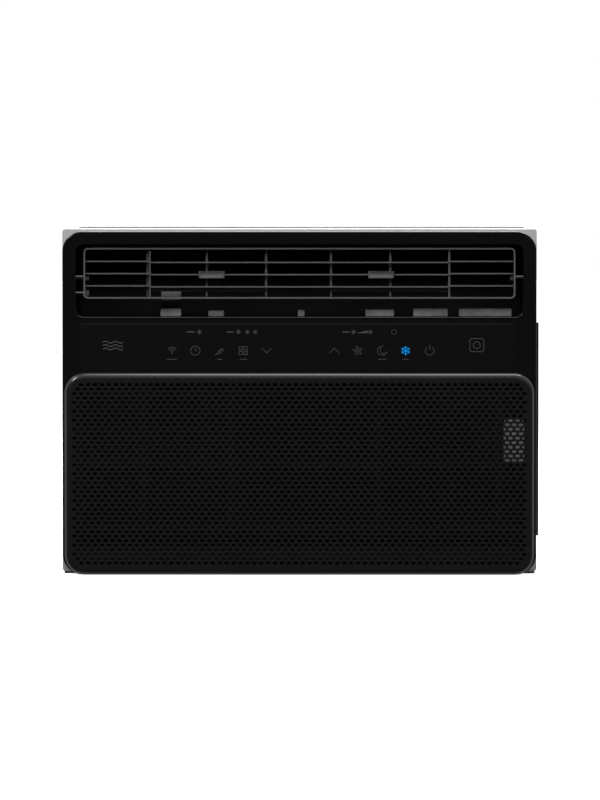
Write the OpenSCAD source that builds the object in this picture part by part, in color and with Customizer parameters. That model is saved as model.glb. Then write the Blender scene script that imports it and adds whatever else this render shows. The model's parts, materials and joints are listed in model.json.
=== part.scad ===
// Window air conditioner, room side facing -Y, standing on its base pan.
// The origin is the middle of the footprint, at the underside of the base pan.

/* [Cabinet] */
// Width of the sheet-steel cabinet
cabinet_w = 475; // [474:0.5:478]
// Height from the underside of the base pan to the rear grille's top lip
cabinet_h = 346; // [345:0.5:350]
// How far the rear grille's lip stands above the cabinet's top
lip_h = 1; // [0.5:0.1:1.5]
// Depth from the intake grille's face to the rear grille's face
overall_d = 400; // [400:1:404]
// Thickness of the cabinet's sheet
sheet = 1.2; // [0.8:0.1:1.5]
// How far the side louvres stand out of the cabinet
hood_out = 3; // [2:0.5:4]

/* [Front] */
// Width of the front bezel
bezel_w = 473; // [472:0.5:474]
// Height of the front bezel
bezel_h = 342.5; // [342:0.5:344]
// Corner radius of the bezel and the intake grille
corner_r = 20; // [18:1:22]
// Wall thickness of the bezel
wall = 3; // [2.5:0.5:3]
// Width of the air outlet
outlet_w = 446.6; // [444:0.2:447]
// Height of the air outlet
outlet_h = 73; // [72:0.5:74]
// Width of the intake grille
grille_w = 468.5; // [466:0.5:470]
// Height of the intake grille
grille_h = 202; // [200:0.5:202]
// How far the intake grille stands proud of the bezel
grille_proud = 8; // [7.5:0.5:8]
// Width of the touch panel
panel_w = 434; // [430:1:438]
// Height of the touch panel
panel_h = 47; // [44:0.5:47]

/* [Louvre] */
// Width of the tilting louvre frame
louvre_w = 431.2; // [430:0.2:432]
// Height of the tilting louvre frame
louvre_h = 50.7; // [50:0.1:51]
// Depth of the louvre frame from front to back
louvre_d = 34; // [33:0.5:34]
// Distance between neighbouring blades
blade_pitch = 12.2; // [12:0.1:12.4]
// Distance between neighbouring vanes of one group
vane_pitch = 59.4; // [58:0.2:60]
// Width of a vane tab
tab_w = 26; // [24:0.5:28]

/* [Air handling] */
// Radius of the blower wheel
blower_r = 78; // [74:1:80]
// Number of blower blades
blower_blades = 28; // [20:1:32]
// Outer radius of the condenser fan's slinger ring
fan_r = 122; // [116:1:122]
// Number of condenser fan blades
fan_blades = 5; // [4:1:6]

/* [Hidden] */
$fn = 48;
eps = 0.5;

// Front to back
front_y = -overall_d / 2;
bezel_y = front_y + grille_proud;
cabinet_y0 = -166;
cabinet_y1 = overall_d / 2 - 4;
tray_y1 = -150;

// Bezel and its openings
bezel_x = bezel_w / 2;
bezel_z0 = 0.4;
bezel_z1 = bezel_z0 + bezel_h;
bezel_edge = 1.2;
outlet_x = outlet_w / 2;
outlet_z1 = bezel_z1 - 12.6;
outlet_z0 = outlet_z1 - outlet_h;
outlet_r = 8;
tray_z1 = outlet_z1 + 3.7;
tray_wall = 2.5;
intake_x = 226;
intake_z = [14, 192];
intake_r = 12;
panel_x = -2;
panel_z = [outlet_z0 - 6.4 - panel_h, outlet_z0 - 6.4];
window_x = [-135, 190];
window_z = [214, 241];

// Intake grille
grille_x = grille_w / 2;
grille_z1 = bezel_z0 + grille_h;
grille_edge = 7;
grille_skin = 2.2;
hook_x = [-150, 0, 150];
hook_z = [7, 198];
hook = [10, 3];
hook_gap = 0.4;

// Air filter
filter_z = [39, 252];
filter_y = [-181, -174];
filter_x = [-226, 239];
filter_gap = 0.4;
mesh_t = 0.6;
filter_border = 9;
filter_ribs_x = [-156, -69, 79, 199];
filter_ribs_z = [110, 181];
filter_rib_w = 8;
tab_block_x = [204, 225];
tab_block_z = [113, 155];
tab_block_t = 4;

// Louvre
louvre_x = louvre_w / 2;
pivot_y = -168;
pivot_z = outlet_z1 - 33;
louvre_z1 = outlet_z1 - 3.8;
louvre_z0 = louvre_z1 - louvre_h;
louvre_y = [pivot_y - louvre_d / 2, pivot_y + louvre_d / 2];
louvre_wall = 1.6;
boss_l = 5;
boss_r = 4;
louvre_r = 4.5;
pivot_r = 2.5;
pin_fit = 0.05;
stop_arm = 16.1;
pin_end = outlet_x + wall - 0.4;
stop_r = 2;
stop_swing = 24;
blade_z = pivot_z + 3.5;
blade_t = 1.3;
blade_y = [louvre_y[0] + 1, -171];
blade_step = 1;
step_x = 149.5;
step_y = -178;
step_gap = 2;
rib_t = 1.6;
blade_end = 14;
blade_sweep = 4;

// Vanes, their links and tabs
vane_mid = -1;
vane_gap = 65;
vane_x = [for (side = [-1, 1], i = side < 0 ? [2:-1:0] : [0:2])
    vane_mid + side * (vane_gap / 2 + i * vane_pitch)];
vane_pivot_y = -156;
vane_y = [-168, -152.5];
vane_t = 1.5;
vane_z = [louvre_z0 + louvre_wall + 0.4, louvre_z1 - louvre_wall - 0.4];
vane_pin_r = 1.5;
link_y = -165;
link_z = [louvre_z0 + 7, louvre_z0 + 10];
link_pin_r = 1;
link_w = 4;
notch_y = -161.4;
tab_x = [-87.5, 81.6];
tab_h = 7;
tab_y = [louvre_y[0] - 4, -168.6];
tab_gap = 0.35;
pocket_r = 3;
pocket_lift = 0.2;
pocket_end = 1.2;
fork_y = -165.6;
fork_slot = 4.4;
fork_wall = 1.4;

// Fan train
axis_x = 25;
axis_z = 140;
shaft_r = 4;
shaft_y = [-100, 118];
scroll_y = [-112, -30];
scroll_r = 118;
scroll_wall = 5;
duct_x = 230;
duct_z = [outlet_z0 - 6, tray_z1 + 4];
foam_y = [tray_y1 + 2, tray_y1 + 26];
// Left end, right end and height of each strip on the duct's floor
foam_strips = [[-140, -119, 8], [-92, -76, 6], [-2, 5, 7], [66, 95, 7], [114, 149, 8], [160, 213, 8]];
inlet_r = 66;
blower_y = [-104, -46];
bulkhead_y = [-30, -28.8];
motor_y = [-12, 56];
motor_r = 46;
bolt_circle = 39;
fan_y = [72, 104];
shroud_y = 97;
shroud_x = 216;
shroud_z = [2, 330];
shroud_back = 146;
shroud_t = 2;
collar = 8;
suction_hole = [-224, 234];
capillary_hole = [-226, 246];
liquid_hole = [200, 60];
orifice_r = fan_r + 5;

// Heat exchangers: half length, front and back, bottom and top
evaporator_x = 200;
evaporator_y = [-160, -118];
evaporator_z = [38, 246];
evaporator_rows = [-149.5, -128.5];
evaporator_z_first = 52;
evaporator_pitch = 26;
evaporator_tubes = 8;
condenser_x = 205;
condenser_y = [150, 186];
condenser_z = [6, 326];
condenser_rows = [159, 177];
condenser_z_first = 22;
condenser_pitch = 31;
condenser_tubes = 10;
tube_r = 3.5;
plate_t = 1.2;
tube_out = 4;

// Refrigerant circuit
compressor_at = [-165, 24];
compressor_r = 50;
compressor_z = [16, 216];
stud_circle = 60;
stud_angles = [90, 210, 330];
stud_r = 3;
foot_z = 30;
foot_t = 3;
grommet_r = 10;
grommet_neck = 6.4;
accumulator_at = [-88, 10];
accumulator_r = 18;
accumulator_z = [62, 188];
pipe_r = 4;
liquid_r = 3;
capillary_r = 1.2;
drier_x = -221;
drier_y = [40, 88];
drier_z = 290;
coil_at = [-203, -4];
coil_r = 13;
coil_turns = 4;

// Base pan
pan_t = 1.5;
pan_rim = 24;
pan_x = cabinet_w / 2 - sheet - 0.4;
pan_y = [cabinet_y0 + sheet + 0.6, cabinet_y1 - 0.5];
drain_at = [190, 60];
drain_r = 8.5;
drain_h = 12;
plug_at = [190, -5];
sill_x = 224;
sill_y = [-80, 120];
sill_r = 3.5;

// Cabinet holes and louvres
cabinet_x = cabinet_w / 2;
cabinet_top = cabinet_h - lip_h;
cabinet_z0 = 2;
flange = 8;
rail_y = -140;
rail_x = [-210, -70, 70, 210];
curtain_z = [60, 173, 286];
rail_r = 2.1;
screw_r = 1.75;
screw_y = [-100, 20, 150];
screw_z = 13;
bezel_screw_x = 222;
bezel_screw_z = [64, 200];
hood_y = [-15, 85];
hood_z = [70:24:286];
gland_at = [-80, 34];
gland_r = 8;

// Electrical parts
box_x = [150, 232];
box_y = [-106, -40];
box_z = [44, 225];
board_y = [-187, -185.4];
board_x = [-145, 200];
board_z = [209, 246];
led_x = [-26, 28];
led_z = [217, 237];

// ---------- shared shapes ----------

// Block between two opposite corners
module block(lo, hi) {
    translate(lo) cube(hi - lo);
}

module rod_x(at, r, l) {
    translate(at) rotate([0, 90, 0]) cylinder(h = l, r = r);
}

module rod_y(at, r, l) {
    translate(at) rotate([-90, 0, 0]) cylinder(h = l, r = r);
}

module rod_z(at, r, l) {
    translate(at) cylinder(h = l, r = r);
}

// Rounded rectangle given by its edges
module outline(x0, x1, z0, z1, r) {
    translate([x0 + r, z0]) square([x1 - x0 - 2 * r, z1 - z0]);
    translate([x0, z0 + r]) square([x1 - x0, z1 - z0 - 2 * r]);
    for (x = [x0 + r, x1 - r], z = [z0 + r, z1 - r]) translate([x, z]) circle(r);
}

// Stands a flat X-Z outline up between two Y planes
module upright(y0, y1) {
    translate([0, y1, 0]) rotate([90, 0, 0]) linear_extrude(y1 - y0) children();
}

// Flat rectangle from the origin, with the two corners at y = 0 rounded by e
module rounded_section(w, t, e) {
    translate([e, 0]) square([w - 2 * e, t]);
    translate([0, e]) square([w, t - e]);
    intersection() {
        square([w, t]);
        for (x = [e, w - e]) translate([x, e]) circle(e);
    }
}

// Upright rounded plate whose front edge is rounded by e all the way round
module soft_plate(x0, x1, z0, z1, r, y0, y1, e) {
    t = y1 - y0;
    translate([x0 + r, y0, z1]) rotate([0, 90, 0])
        linear_extrude(x1 - x0 - 2 * r) rounded_section(z1 - z0, t, e);
    translate([x0, y0, z0 + r])
        linear_extrude(z1 - z0 - 2 * r) rounded_section(x1 - x0, t, e);
    for (corner = [[x1 - r, z0 + r, 0], [x0 + r, z0 + r, 90], [x0 + r, z1 - r, 180], [x1 - r, z1 - r, 270]])
        translate([corner[0], y0, corner[1]]) rotate([-90, 0, 0]) rotate([0, 0, corner[2]])
            rotate_extrude(angle = 90) intersection() {
                square([r, t]);
                translate([-r, 0]) rounded_section(2 * r, t, e);
            }
}

// Rigid pipe through a list of points, with round elbows
module pipe(points, r) {
    for (i = [0:len(points) - 2]) {
        run = points[i + 1] - points[i];
        l = norm(run);
        tilt = acos(run[2] / l);
        turn = atan2(run[1], run[0]);
        translate(points[i]) rotate([0, tilt, turn]) cylinder(h = l, r = r);
        if (i > 0) translate(points[i]) sphere(r);
    }
}

// Fine tube through many points, each stretch drawn as a faceted capsule
module wire(points, r) {
    for (i = [0:len(points) - 2]) hull() {
        translate(points[i]) sphere(r, $fn = 8);
        translate(points[i + 1]) sphere(r, $fn = 8);
    }
}

// Half-round return bend between two tube ends, bulging towards side (-1 or 1) along X
module return_bend(at, z_span, y_span, r, side) {
    reach = norm([y_span, z_span]) / 2;
    lean = atan2(y_span, z_span);
    translate(at + [0, y_span / 2, z_span / 2]) rotate([-lean, 0, 0])
        rotate([90, 0, 0]) rotate([0, 0, side > 0 ? -90 : 90])
            rotate_extrude(angle = 180) translate([reach, 0]) circle(r);
}

// Two rows of tubes joined into one serpentine, open at both upper ends on the left
module serpentine(half, rows, z_first, pitch, count, r) {
    ends = half + plate_t + tube_out;
    for (y = rows, i = [0:count - 1])
        rod_x([-ends, y, z_first + i * pitch], r, 2 * ends);
    for (y = rows, i = [0:count - 2])
        return_bend([i % 2 == 0 ? ends : -ends, y, z_first + i * pitch], pitch, 0, r,
            i % 2 == 0 ? 1 : -1);
    return_bend([-ends, rows[0], z_first], 0, rows[1] - rows[0], r, -1);
}

module tube_holes(half, rows, z_first, pitch, count, r) {
    for (y = rows, i = [0:count - 1])
        rod_x([-half - 10, y, z_first + i * pitch], r, 2 * half + 20);
}

module end_plates(half, y, z, rows, z_first, pitch, count) {
    difference() {
        for (side = [-1, 1]) {
            x = side * (half + plate_t / 2);
            block([x - plate_t / 2, y[0], z[0]], [x + plate_t / 2, y[1], z[1]]);
        }
        tube_holes(half, rows, z_first, pitch, count, tube_r + 0.05);
    }
}

module fin_block(half, y, z, rows, z_first, pitch, count) {
    difference() {
        block([-half, y[0], z[0]], [half, y[1], z[1]]);
        tube_holes(half, rows, z_first, pitch, count, tube_r + 0.05);
    }
}

// ---------- case ----------

// Pressed louvre on one side wall: an outward hood over a slot
module side_hood(z, side) {
    mirror([side < 0 ? 1 : 0, 0, 0]) translate([cabinet_x, hood_y[1], z]) rotate([90, 0, 0])
        linear_extrude(hood_y[1] - hood_y[0]) polygon([[-sheet, 9], [0, 9], [hood_out, 3],
            [hood_out, 0], [hood_out - sheet, 0], [hood_out - sheet, 2.6], [-sheet, 7.6]]);
}

module cabinet() color("silver") {
    difference() {
        upright(cabinet_y0, cabinet_y1) outline(-cabinet_x, cabinet_x, cabinet_z0, cabinet_top, 3);
        upright(cabinet_y0 + sheet, cabinet_y1 + eps)
            outline(-cabinet_x + sheet, cabinet_x - sheet, -5, cabinet_top - sheet, 2);
        upright(cabinet_y0 - eps, cabinet_y0 + sheet + eps) difference() {
            outline(-cabinet_x + flange, cabinet_x - flange, 10, cabinet_top - flange, 12);
            for (side = [-1, 1], z = bezel_screw_z)
                translate([side * (bezel_screw_x + 2) - 10, z - 7]) square([20, 14]);
        }
        for (side = [-1, 1], z = bezel_screw_z)
            rod_y([side * bezel_screw_x, cabinet_y0 - eps, z], screw_r + 0.1, sheet + 2 * eps);
        for (x = rail_x) rod_z([x, rail_y, cabinet_top - sheet - eps], rail_r, sheet + 2 * eps);
        for (z = curtain_z) rod_x([-cabinet_x - eps, rail_y, z], rail_r, cabinet_w + 2 * eps);
        for (y = screw_y) rod_x([-cabinet_x - eps, y, screw_z], screw_r + 0.1, cabinet_w + 2 * eps);
        for (z = hood_z)
            block([-cabinet_x - eps, hood_y[0] + 2, z + 1], [cabinet_x + eps, hood_y[1] - 2, z + 7]);
        rod_x([cabinet_x - sheet - eps, gland_at[0], gland_at[1]], gland_r, sheet + 2 * eps);
    }
    for (side = [-1, 1], z = hood_z) side_hood(z, side);
}

module base_pan() color("#26272a") difference() {
    union() {
        difference() {
            block([-pan_x, pan_y[0], 0], [pan_x, pan_y[1], pan_rim]);
            block([-pan_x + pan_t, pan_y[0] + pan_t, pan_t], [pan_x - pan_t, pan_y[1] - pan_t, pan_rim + 1]);
        }
        rod_z([drain_at[0], drain_at[1], 0], drain_r + 3, drain_h);
    }
    rod_z([drain_at[0], drain_at[1], -eps], drain_r, drain_h + 2 * eps);
    rod_z([plug_at[0], plug_at[1], -eps], drain_r, pan_t + 2 * eps);
    for (x = [-sill_x, sill_x], y = sill_y) rod_z([x, y, -eps], sill_r, pan_t + 2 * eps);
    for (y = screw_y) rod_x([-pan_x - eps, y, screw_z], screw_r + 0.1, 2 * pan_x + 2 * eps);
}

// Guard over the condenser: a shallow lid pierced by upright slots in three tiers
module rear_grille() color("silver") {
    face_t = 1.5;
    slot_w = 9;
    slot_pitch = 14.5;
    slot_h = 96;
    columns = 28;
    difference() {
        upright(cabinet_y1, overall_d / 2) outline(-cabinet_x, cabinet_x, cabinet_z0, cabinet_h, 3);
        upright(cabinet_y1 - eps, overall_d / 2 - face_t)
            outline(-cabinet_x + sheet, cabinet_x - sheet, 3.5, cabinet_h - sheet, 2);
        for (i = [0:columns - 1], tier = [0:2]) {
            x = (i - (columns - 1) / 2) * slot_pitch;
            z = 16 + tier * (slot_h + 12);
            block([x - slot_w / 2, overall_d / 2 - 5, z], [x + slot_w / 2, overall_d / 2 + 1, z + slot_h]);
        }
    }
}

// Lipped guides that carry the filter's lower and upper edges
module filter_guides() {
    lip = 2;
    x = bezel_x - wall;
    y0 = filter_y[0] - filter_gap;
    y1 = filter_y[1] + filter_gap;
    z0 = filter_z[0] - filter_gap;
    z1 = filter_z[1] + filter_gap;
    for (y = [y0 - lip, y1]) {
        block([-x - eps, y, z0 - lip], [x + eps, y + lip, z0 + 5]);
        block([-x - eps, y, z1 - 5], [x + eps, y + lip, z1 + lip]);
    }
    block([-x - eps, y0 - eps, z0 - lip], [x + eps, y1 + eps, z0]);
    block([-x - eps, y0 - eps, z1], [x + eps, y1 + eps, outlet_z0 - 1]);
}

// Curved slot that the louvre's stop pin swings in
module stop_slot() {
    translate([-outlet_x - 5, pivot_y, pivot_z]) rotate([0, 90, 0]) {
        rotate([0, 0, -stop_swing]) rotate_extrude(angle = 2 * stop_swing)
            translate([stop_arm - stop_r - 0.3, 0]) square([2 * stop_r + 0.6, 6]);
        for (turn = [-stop_swing, stop_swing]) rotate([0, 0, turn])
            translate([stop_arm, 0, 0]) cylinder(h = 6, r = stop_r + 0.3);
    }
}

module front_bezel() color("#17181a") difference() {
    union() {
        difference() {
            soft_plate(-bezel_x, bezel_x, bezel_z0, bezel_z1, corner_r, bezel_y, cabinet_y0, bezel_edge);
            upright(bezel_y + wall, cabinet_y0 + eps) outline(-bezel_x + wall, bezel_x - wall,
                bezel_z0 + wall, bezel_z1 - wall, corner_r - wall);
        }
        upright(bezel_y + 1, tray_y1) outline(-outlet_x - wall, outlet_x + wall,
            outlet_z0 - wall, tray_z1 + tray_wall, outlet_r + 2);
        filter_guides();
        for (side = [-1, 1], z = bezel_screw_z) {
            x = side * (bezel_screw_x + 4);
            block([x - 8, cabinet_y0 - 4, z - 6], [x + 8, cabinet_y0, z + 6]);
        }
        for (x = [board_x[0] + 6, board_x[1] - 6], z = [board_z[0] + 2.5, board_z[1] - 2.5])
            rod_y([x, bezel_y + 1, z], 2.4, board_y[0] - bezel_y - 1);
    }
    upright(bezel_y + wall, tray_y1 + eps) outline(-outlet_x, outlet_x, outlet_z0, tray_z1, outlet_r);
    upright(bezel_y - eps, bezel_y + wall + eps) outline(-outlet_x, outlet_x, outlet_z0, outlet_z1, outlet_r);
    upright(bezel_y - eps, bezel_y + wall + eps)
        outline(-intake_x, intake_x, intake_z[0], intake_z[1], intake_r);
    upright(bezel_y - eps, bezel_y + 1) outline(panel_x - panel_w / 2 - 0.2, panel_x + panel_w / 2 + 0.2,
        panel_z[0] - 0.2, panel_z[1] + 0.2, 4);
    block([window_x[0], bezel_y - eps, window_z[0]], [window_x[1], bezel_y + wall + eps, window_z[1]]);
    block([bezel_x - 14, filter_y[0] - filter_gap, filter_z[0] - filter_gap],
        [bezel_x + eps, filter_y[1] + filter_gap, filter_z[1] + filter_gap]);
    block([bezel_x - 14, filter_y[0] - tab_block_t - filter_gap, tab_block_z[0] - 1],
        [bezel_x + eps, filter_y[0], tab_block_z[1] + 1]);
    rod_x([-outlet_x - 4, pivot_y, pivot_z], pivot_r + pin_fit, outlet_w + 8);
    stop_slot();
    for (x = hook_x, z = hook_z)
        block([x - hook[0] / 2 - hook_gap, bezel_y - eps, z - hook[1] / 2 - hook_gap],
            [x + hook[0] / 2 + hook_gap, bezel_y + wall + eps, z + hook[1] / 2 + hook_gap]);
    for (side = [-1, 1], z = bezel_screw_z)
        rod_y([side * bezel_screw_x, cabinet_y0 - 5, z], screw_r + 0.1, 6);
}

// Raised intake panel: rounded all round, pierced by rows of slots, held by snap hooks
module intake_grille() color("#141516") {
    slot = [92, 4];
    slot_pitch = 8.9;
    rows = 20;
    columns = 4;
    difference() {
        soft_plate(-grille_x, grille_x, bezel_z0, grille_z1, corner_r, front_y, bezel_y, grille_edge);
        upright(front_y + grille_skin, bezel_y + eps) outline(-grille_x + grille_edge,
            grille_x - grille_edge, bezel_z0 + grille_edge + 4, grille_z1 - grille_edge - 2,
            corner_r - grille_edge);
        for (row = [0:rows - 1], column = [0:columns - 1]) {
            x = (column - (columns - 1) / 2) * (slot[0] + 20);
            z = (bezel_z0 + grille_z1) / 2 + (row - (rows - 1) / 2) * slot_pitch;
            block([x - slot[0] / 2, front_y - eps, z - slot[1] / 2],
                [x + slot[0] / 2, front_y + grille_skin + eps, z + slot[1] / 2]);
        }
    }
    for (x = hook_x, z = hook_z)
        block([x - hook[0] / 2, bezel_y - 1, z - hook[1] / 2],
            [x + hook[0] / 2, bezel_y + 5, z + hook[1] / 2]);
}

// ---------- touch controls ----------

module touch_panel() color("#101114")
    upright(bezel_y - 0.2, bezel_y + 1) outline(panel_x - panel_w / 2, panel_x + panel_w / 2,
        panel_z[0], panel_z[1], 3.8);

module display_board() color("darkgreen") {
    block([board_x[0], board_y[0], board_z[0]], [board_x[1], board_y[1], board_z[1]]);
    connector = [[150, 216], [175, 236]];
    chip_z = 226;
    chip = 8;
    block([connector[0][0], board_y[1], connector[0][1]],
        [connector[1][0], board_y[1] + 3.5, connector[1][1]]);
    for (x = [-120:40:120])
        block([x - chip / 2, board_y[1], chip_z - chip / 2],
            [x + chip / 2, board_y[1] + 1.4, chip_z + chip / 2]);
}

module led_display() color("dimgray")
    block([led_x[0], board_y[0] - 3.4, led_z[0]], [led_x[1], board_y[0], led_z[1]]);

// ---------- air filter ----------

module air_filter() color("#26282b") {
    border = filter_border;
    x0 = filter_x[0] + border;
    x1 = bezel_x - wall - border;
    y1 = filter_y[1] - mesh_t;
    difference() {
        block([filter_x[0], filter_y[0], filter_z[0]], [filter_x[1], y1, filter_z[1]]);
        block([x0, filter_y[0] - eps, filter_z[0] + border], [x1, y1 + eps, filter_z[1] - border]);
    }
    for (x = filter_ribs_x) block([x - filter_rib_w / 2, filter_y[0] + 2, filter_z[0] + border - eps],
        [x + filter_rib_w / 2, y1, filter_z[1] - border + eps]);
    for (z = filter_ribs_z) block([x0 - eps, filter_y[0] + 2, z - filter_rib_w / 2],
        [x1 + eps, y1, z + filter_rib_w / 2]);
}

module filter_mesh() color("#505459")
    block([filter_x[0] + 3, filter_y[1] - mesh_t, filter_z[0] + 3],
        [bezel_x - wall - 4, filter_y[1], filter_z[1] - 3]);

module filter_tab() color("lightgray")
    upright(filter_y[0] - tab_block_t, filter_y[0])
        outline(tab_block_x[0], tab_block_x[1], tab_block_z[0], tab_block_z[1], 3);

// ---------- outlet louvre ----------

// Plan outline of one blade: a straight front edge that sweeps back near its free ends
module blade_plan(x0, x1, sweep_left, sweep_right) {
    y0 = blade_y[0];
    y1 = blade_y[1];
    polygon(concat(
        sweep_left ? [for (t = [0:5]) [x0 + blade_end * t / 5, y0 + blade_sweep * pow(1 - t / 5, 2)]]
                   : [[x0, y0]],
        sweep_right ? [for (t = [5:-1:0]) [x1 - blade_end * t / 5, y0 + blade_sweep * pow(1 - t / 5, 2)]]
                    : [[x1, y0]],
        [[x1, y1], [x0, y1]]));
}

module louvre_frame() color("#2a2c2e") difference() {
    union() {
        difference() {
            upright(louvre_y[0], louvre_y[1])
                outline(-louvre_x, louvre_x, louvre_z0, louvre_z1, louvre_r);
            upright(louvre_y[0] - eps, louvre_y[1] + eps) outline(-louvre_x + louvre_wall,
                louvre_x - louvre_wall, louvre_z0 + louvre_wall, louvre_z1 - louvre_wall,
                louvre_r - louvre_wall);
        }
        for (i = [-1:1]) {
            z = blade_z + i * blade_pitch - blade_t / 2;
            reach = louvre_x - louvre_wall + eps;
            translate([0, 0, z]) linear_extrude(blade_t) blade_plan(-reach, -step_x, true, false);
            translate([0, 0, z]) linear_extrude(blade_t) blade_plan(step_x, reach, false, true);
            translate([0, 0, z - blade_step]) linear_extrude(blade_t)
                blade_plan(-step_x - eps, step_x + eps, false, false);
        }
        for (x = [-step_x, step_x])
            block([x - rib_t / 2, step_y, louvre_z0 + 1], [x + rib_t / 2, blade_y[1], louvre_z1 - 1]);
        for (side = [-1, 1])
            rod_x([side > 0 ? louvre_x - boss_l : -louvre_x, pivot_y, pivot_z], boss_r, boss_l);
        rod_x([-louvre_x, pivot_y, pivot_z - stop_arm], stop_r + 1.4, boss_l);
    }
    for (x = [-step_x, step_x])
        block([x - step_gap / 2, louvre_y[0] + 0.4, louvre_z0 + louvre_wall],
            [x + step_gap / 2, step_y, louvre_z1 - louvre_wall]);
    for (x = vane_x)
        rod_z([x, vane_pivot_y, louvre_z0 - eps], vane_pin_r + pin_fit, louvre_h + 2 * eps);
    for (side = [-1, 1])
        rod_x([side > 0 ? louvre_x - boss_l + eps : -louvre_x - eps, pivot_y, pivot_z], pivot_r, boss_l);
    rod_x([-louvre_x - eps, pivot_y, pivot_z - stop_arm], stop_r, boss_l);
}

module louvre_pivots() color("silver")
    for (side = [-1, 1]) rod_x([side > 0 ? louvre_x - boss_l + eps : -pin_end, pivot_y, pivot_z], pivot_r,
        pin_end - louvre_x + boss_l - eps);

module louvre_stop_pin() color("silver")
    rod_x([-pin_end, pivot_y, pivot_z - stop_arm], stop_r, pin_end - louvre_x + boss_l - eps);

// Upright vane with pivot stubs, and a notch whose pin carries the link bar
module vane(i) color("#2a2c2e") translate([vane_x[i], 0, 0]) {
    difference() {
        block([-vane_t / 2, vane_y[0], vane_z[0]], [vane_t / 2, vane_y[1], vane_z[1]]);
        block([-vane_t, vane_y[0] - eps, link_z[0] - 0.5], [vane_t, notch_y, link_z[1] + 0.5]);
    }
    rod_z([0, vane_pivot_y, louvre_z0 + 0.2], vane_pin_r, louvre_h - 0.4);
    rod_z([0, link_y, link_z[0] - 1], link_pin_r, link_z[1] - link_z[0] + 2);
}

module vane_1() vane(0);
module vane_2() vane(1);
module vane_3() vane(2);
module vane_4() vane(3);
module vane_5() vane(4);
module vane_6() vane(5);

// Bar that keeps three vanes parallel
module vane_link(first) color("#1c1d1f") difference() {
    union() {
        block([vane_x[first], link_y - link_w / 2, link_z[0]],
            [vane_x[first + 2], link_y + link_w / 2, link_z[1]]);
        for (i = [0, 2])
            rod_z([vane_x[first + i], link_y, link_z[0]], link_w / 2, link_z[1] - link_z[0]);
    }
    for (i = [0:2])
        rod_z([vane_x[first + i], link_y, link_z[0] - eps], link_pin_r + pin_fit,
            link_z[1] - link_z[0] + 2 * eps);
}

module vane_link_left() vane_link(0);
module vane_link_right() vane_link(3);

// Slider that wraps the middle blade and steers one vane through a fork
module vane_tab(x, vane_at) color("#303234") {
    z = blade_z - blade_step;
    half = blade_t / 2 + tab_gap;
    difference() {
        translate([0, 0, z - tab_h / 2]) linear_extrude(tab_h) {
            translate([x - tab_w / 2 + 3, tab_y[0]]) square([tab_w - 6, tab_y[1] - tab_y[0]]);
            translate([x - tab_w / 2, tab_y[0] + 3]) square([tab_w, tab_y[1] - tab_y[0] - 3]);
            for (side = [-1, 1]) translate([x + side * (tab_w / 2 - 3), tab_y[0] + 3]) circle(3);
        }
        block([x - tab_w, blade_y[0] - tab_gap, z - half], [x + tab_w, blade_y[1] + 0.4, z + half]);
        rod_x([x - tab_w / 2 + pocket_end, tab_y[0] - pocket_lift, z + pocket_lift], pocket_r,
            tab_w - 2 * pocket_end);
    }
    for (side = [-1, 1]) {
        prong = vane_at + side * (fork_slot / 2 + fork_wall / 2);
        block([prong - fork_wall / 2, tab_y[1] - 1, z - tab_h / 2],
            [prong + fork_wall / 2, fork_y, z + tab_h / 2]);
    }
}

module vane_tab_left() vane_tab(tab_x[0], vane_x[1]);
module vane_tab_right() vane_tab(tab_x[1], vane_x[4]);

// ---------- air path ----------

module outlet_duct() color("#3a3b3d") difference() {
    block([-duct_x, tray_y1, duct_z[0]], [duct_x, scroll_y[0], duct_z[1]]);
    block([-outlet_x, tray_y1 - eps, outlet_z0], [outlet_x, scroll_y[0] + eps, tray_z1]);
}

// Foam blocks on the duct floor: left edge, right edge and height of each
module duct_foam() color("darkgray")
    for (f = foam_strips)
        block([f[0], foam_y[0], outlet_z0], [f[1], foam_y[1], outlet_z0 + f[2]]);

module scroll_shape(inset) {
    r = scroll_r - inset;
    x = duct_x - inset;
    translate([axis_x, axis_z]) circle(r);
    translate([axis_x - r, axis_z]) square([2 * r, duct_z[0] - axis_z]);
    translate([-x, duct_z[0] + inset]) square([2 * x, duct_z[1] - duct_z[0] - 2 * inset]);
    translate([axis_x - r, duct_z[0] - 10]) square([2 * r, 20 + inset]);
}

module scroll_housing() color("#1c1d1e") difference() {
    upright(scroll_y[0], scroll_y[1]) scroll_shape(0);
    upright(scroll_y[0] + 3, scroll_y[1] - 3) scroll_shape(scroll_wall);
    rod_y([axis_x, scroll_y[0] - eps, axis_z], inlet_r, 5);
    rod_y([axis_x, scroll_y[1] - 5, axis_z], 16, 6);
    block([-outlet_x, scroll_y[0] - eps, outlet_z0], [outlet_x, scroll_y[0] + 4, tray_z1 - 1]);
}

module blower_wheel() color("#1e1f21") difference() {
    union() {
        rod_y([axis_x, blower_y[1] - 4, axis_z], blower_r, 2);
        rod_y([axis_x, blower_y[1] - 26, axis_z], 12, 26);
        difference() {
            rod_y([axis_x, blower_y[0], axis_z], blower_r, 3);
            rod_y([axis_x, blower_y[0] - eps, axis_z], blower_r - 8, 4);
        }
        for (i = [0:blower_blades - 1]) translate([axis_x, 0, axis_z]) rotate([0, i * 360 / blower_blades, 0])
            translate([blower_r - 9, 0, 0]) rotate([0, -35, 0])
                block([-8, blower_y[0] + 1, -0.7], [8, blower_y[1] - 3, 0.7]);
    }
    rod_y([axis_x, blower_y[0] - eps, axis_z], shaft_r, 80);
}

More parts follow.
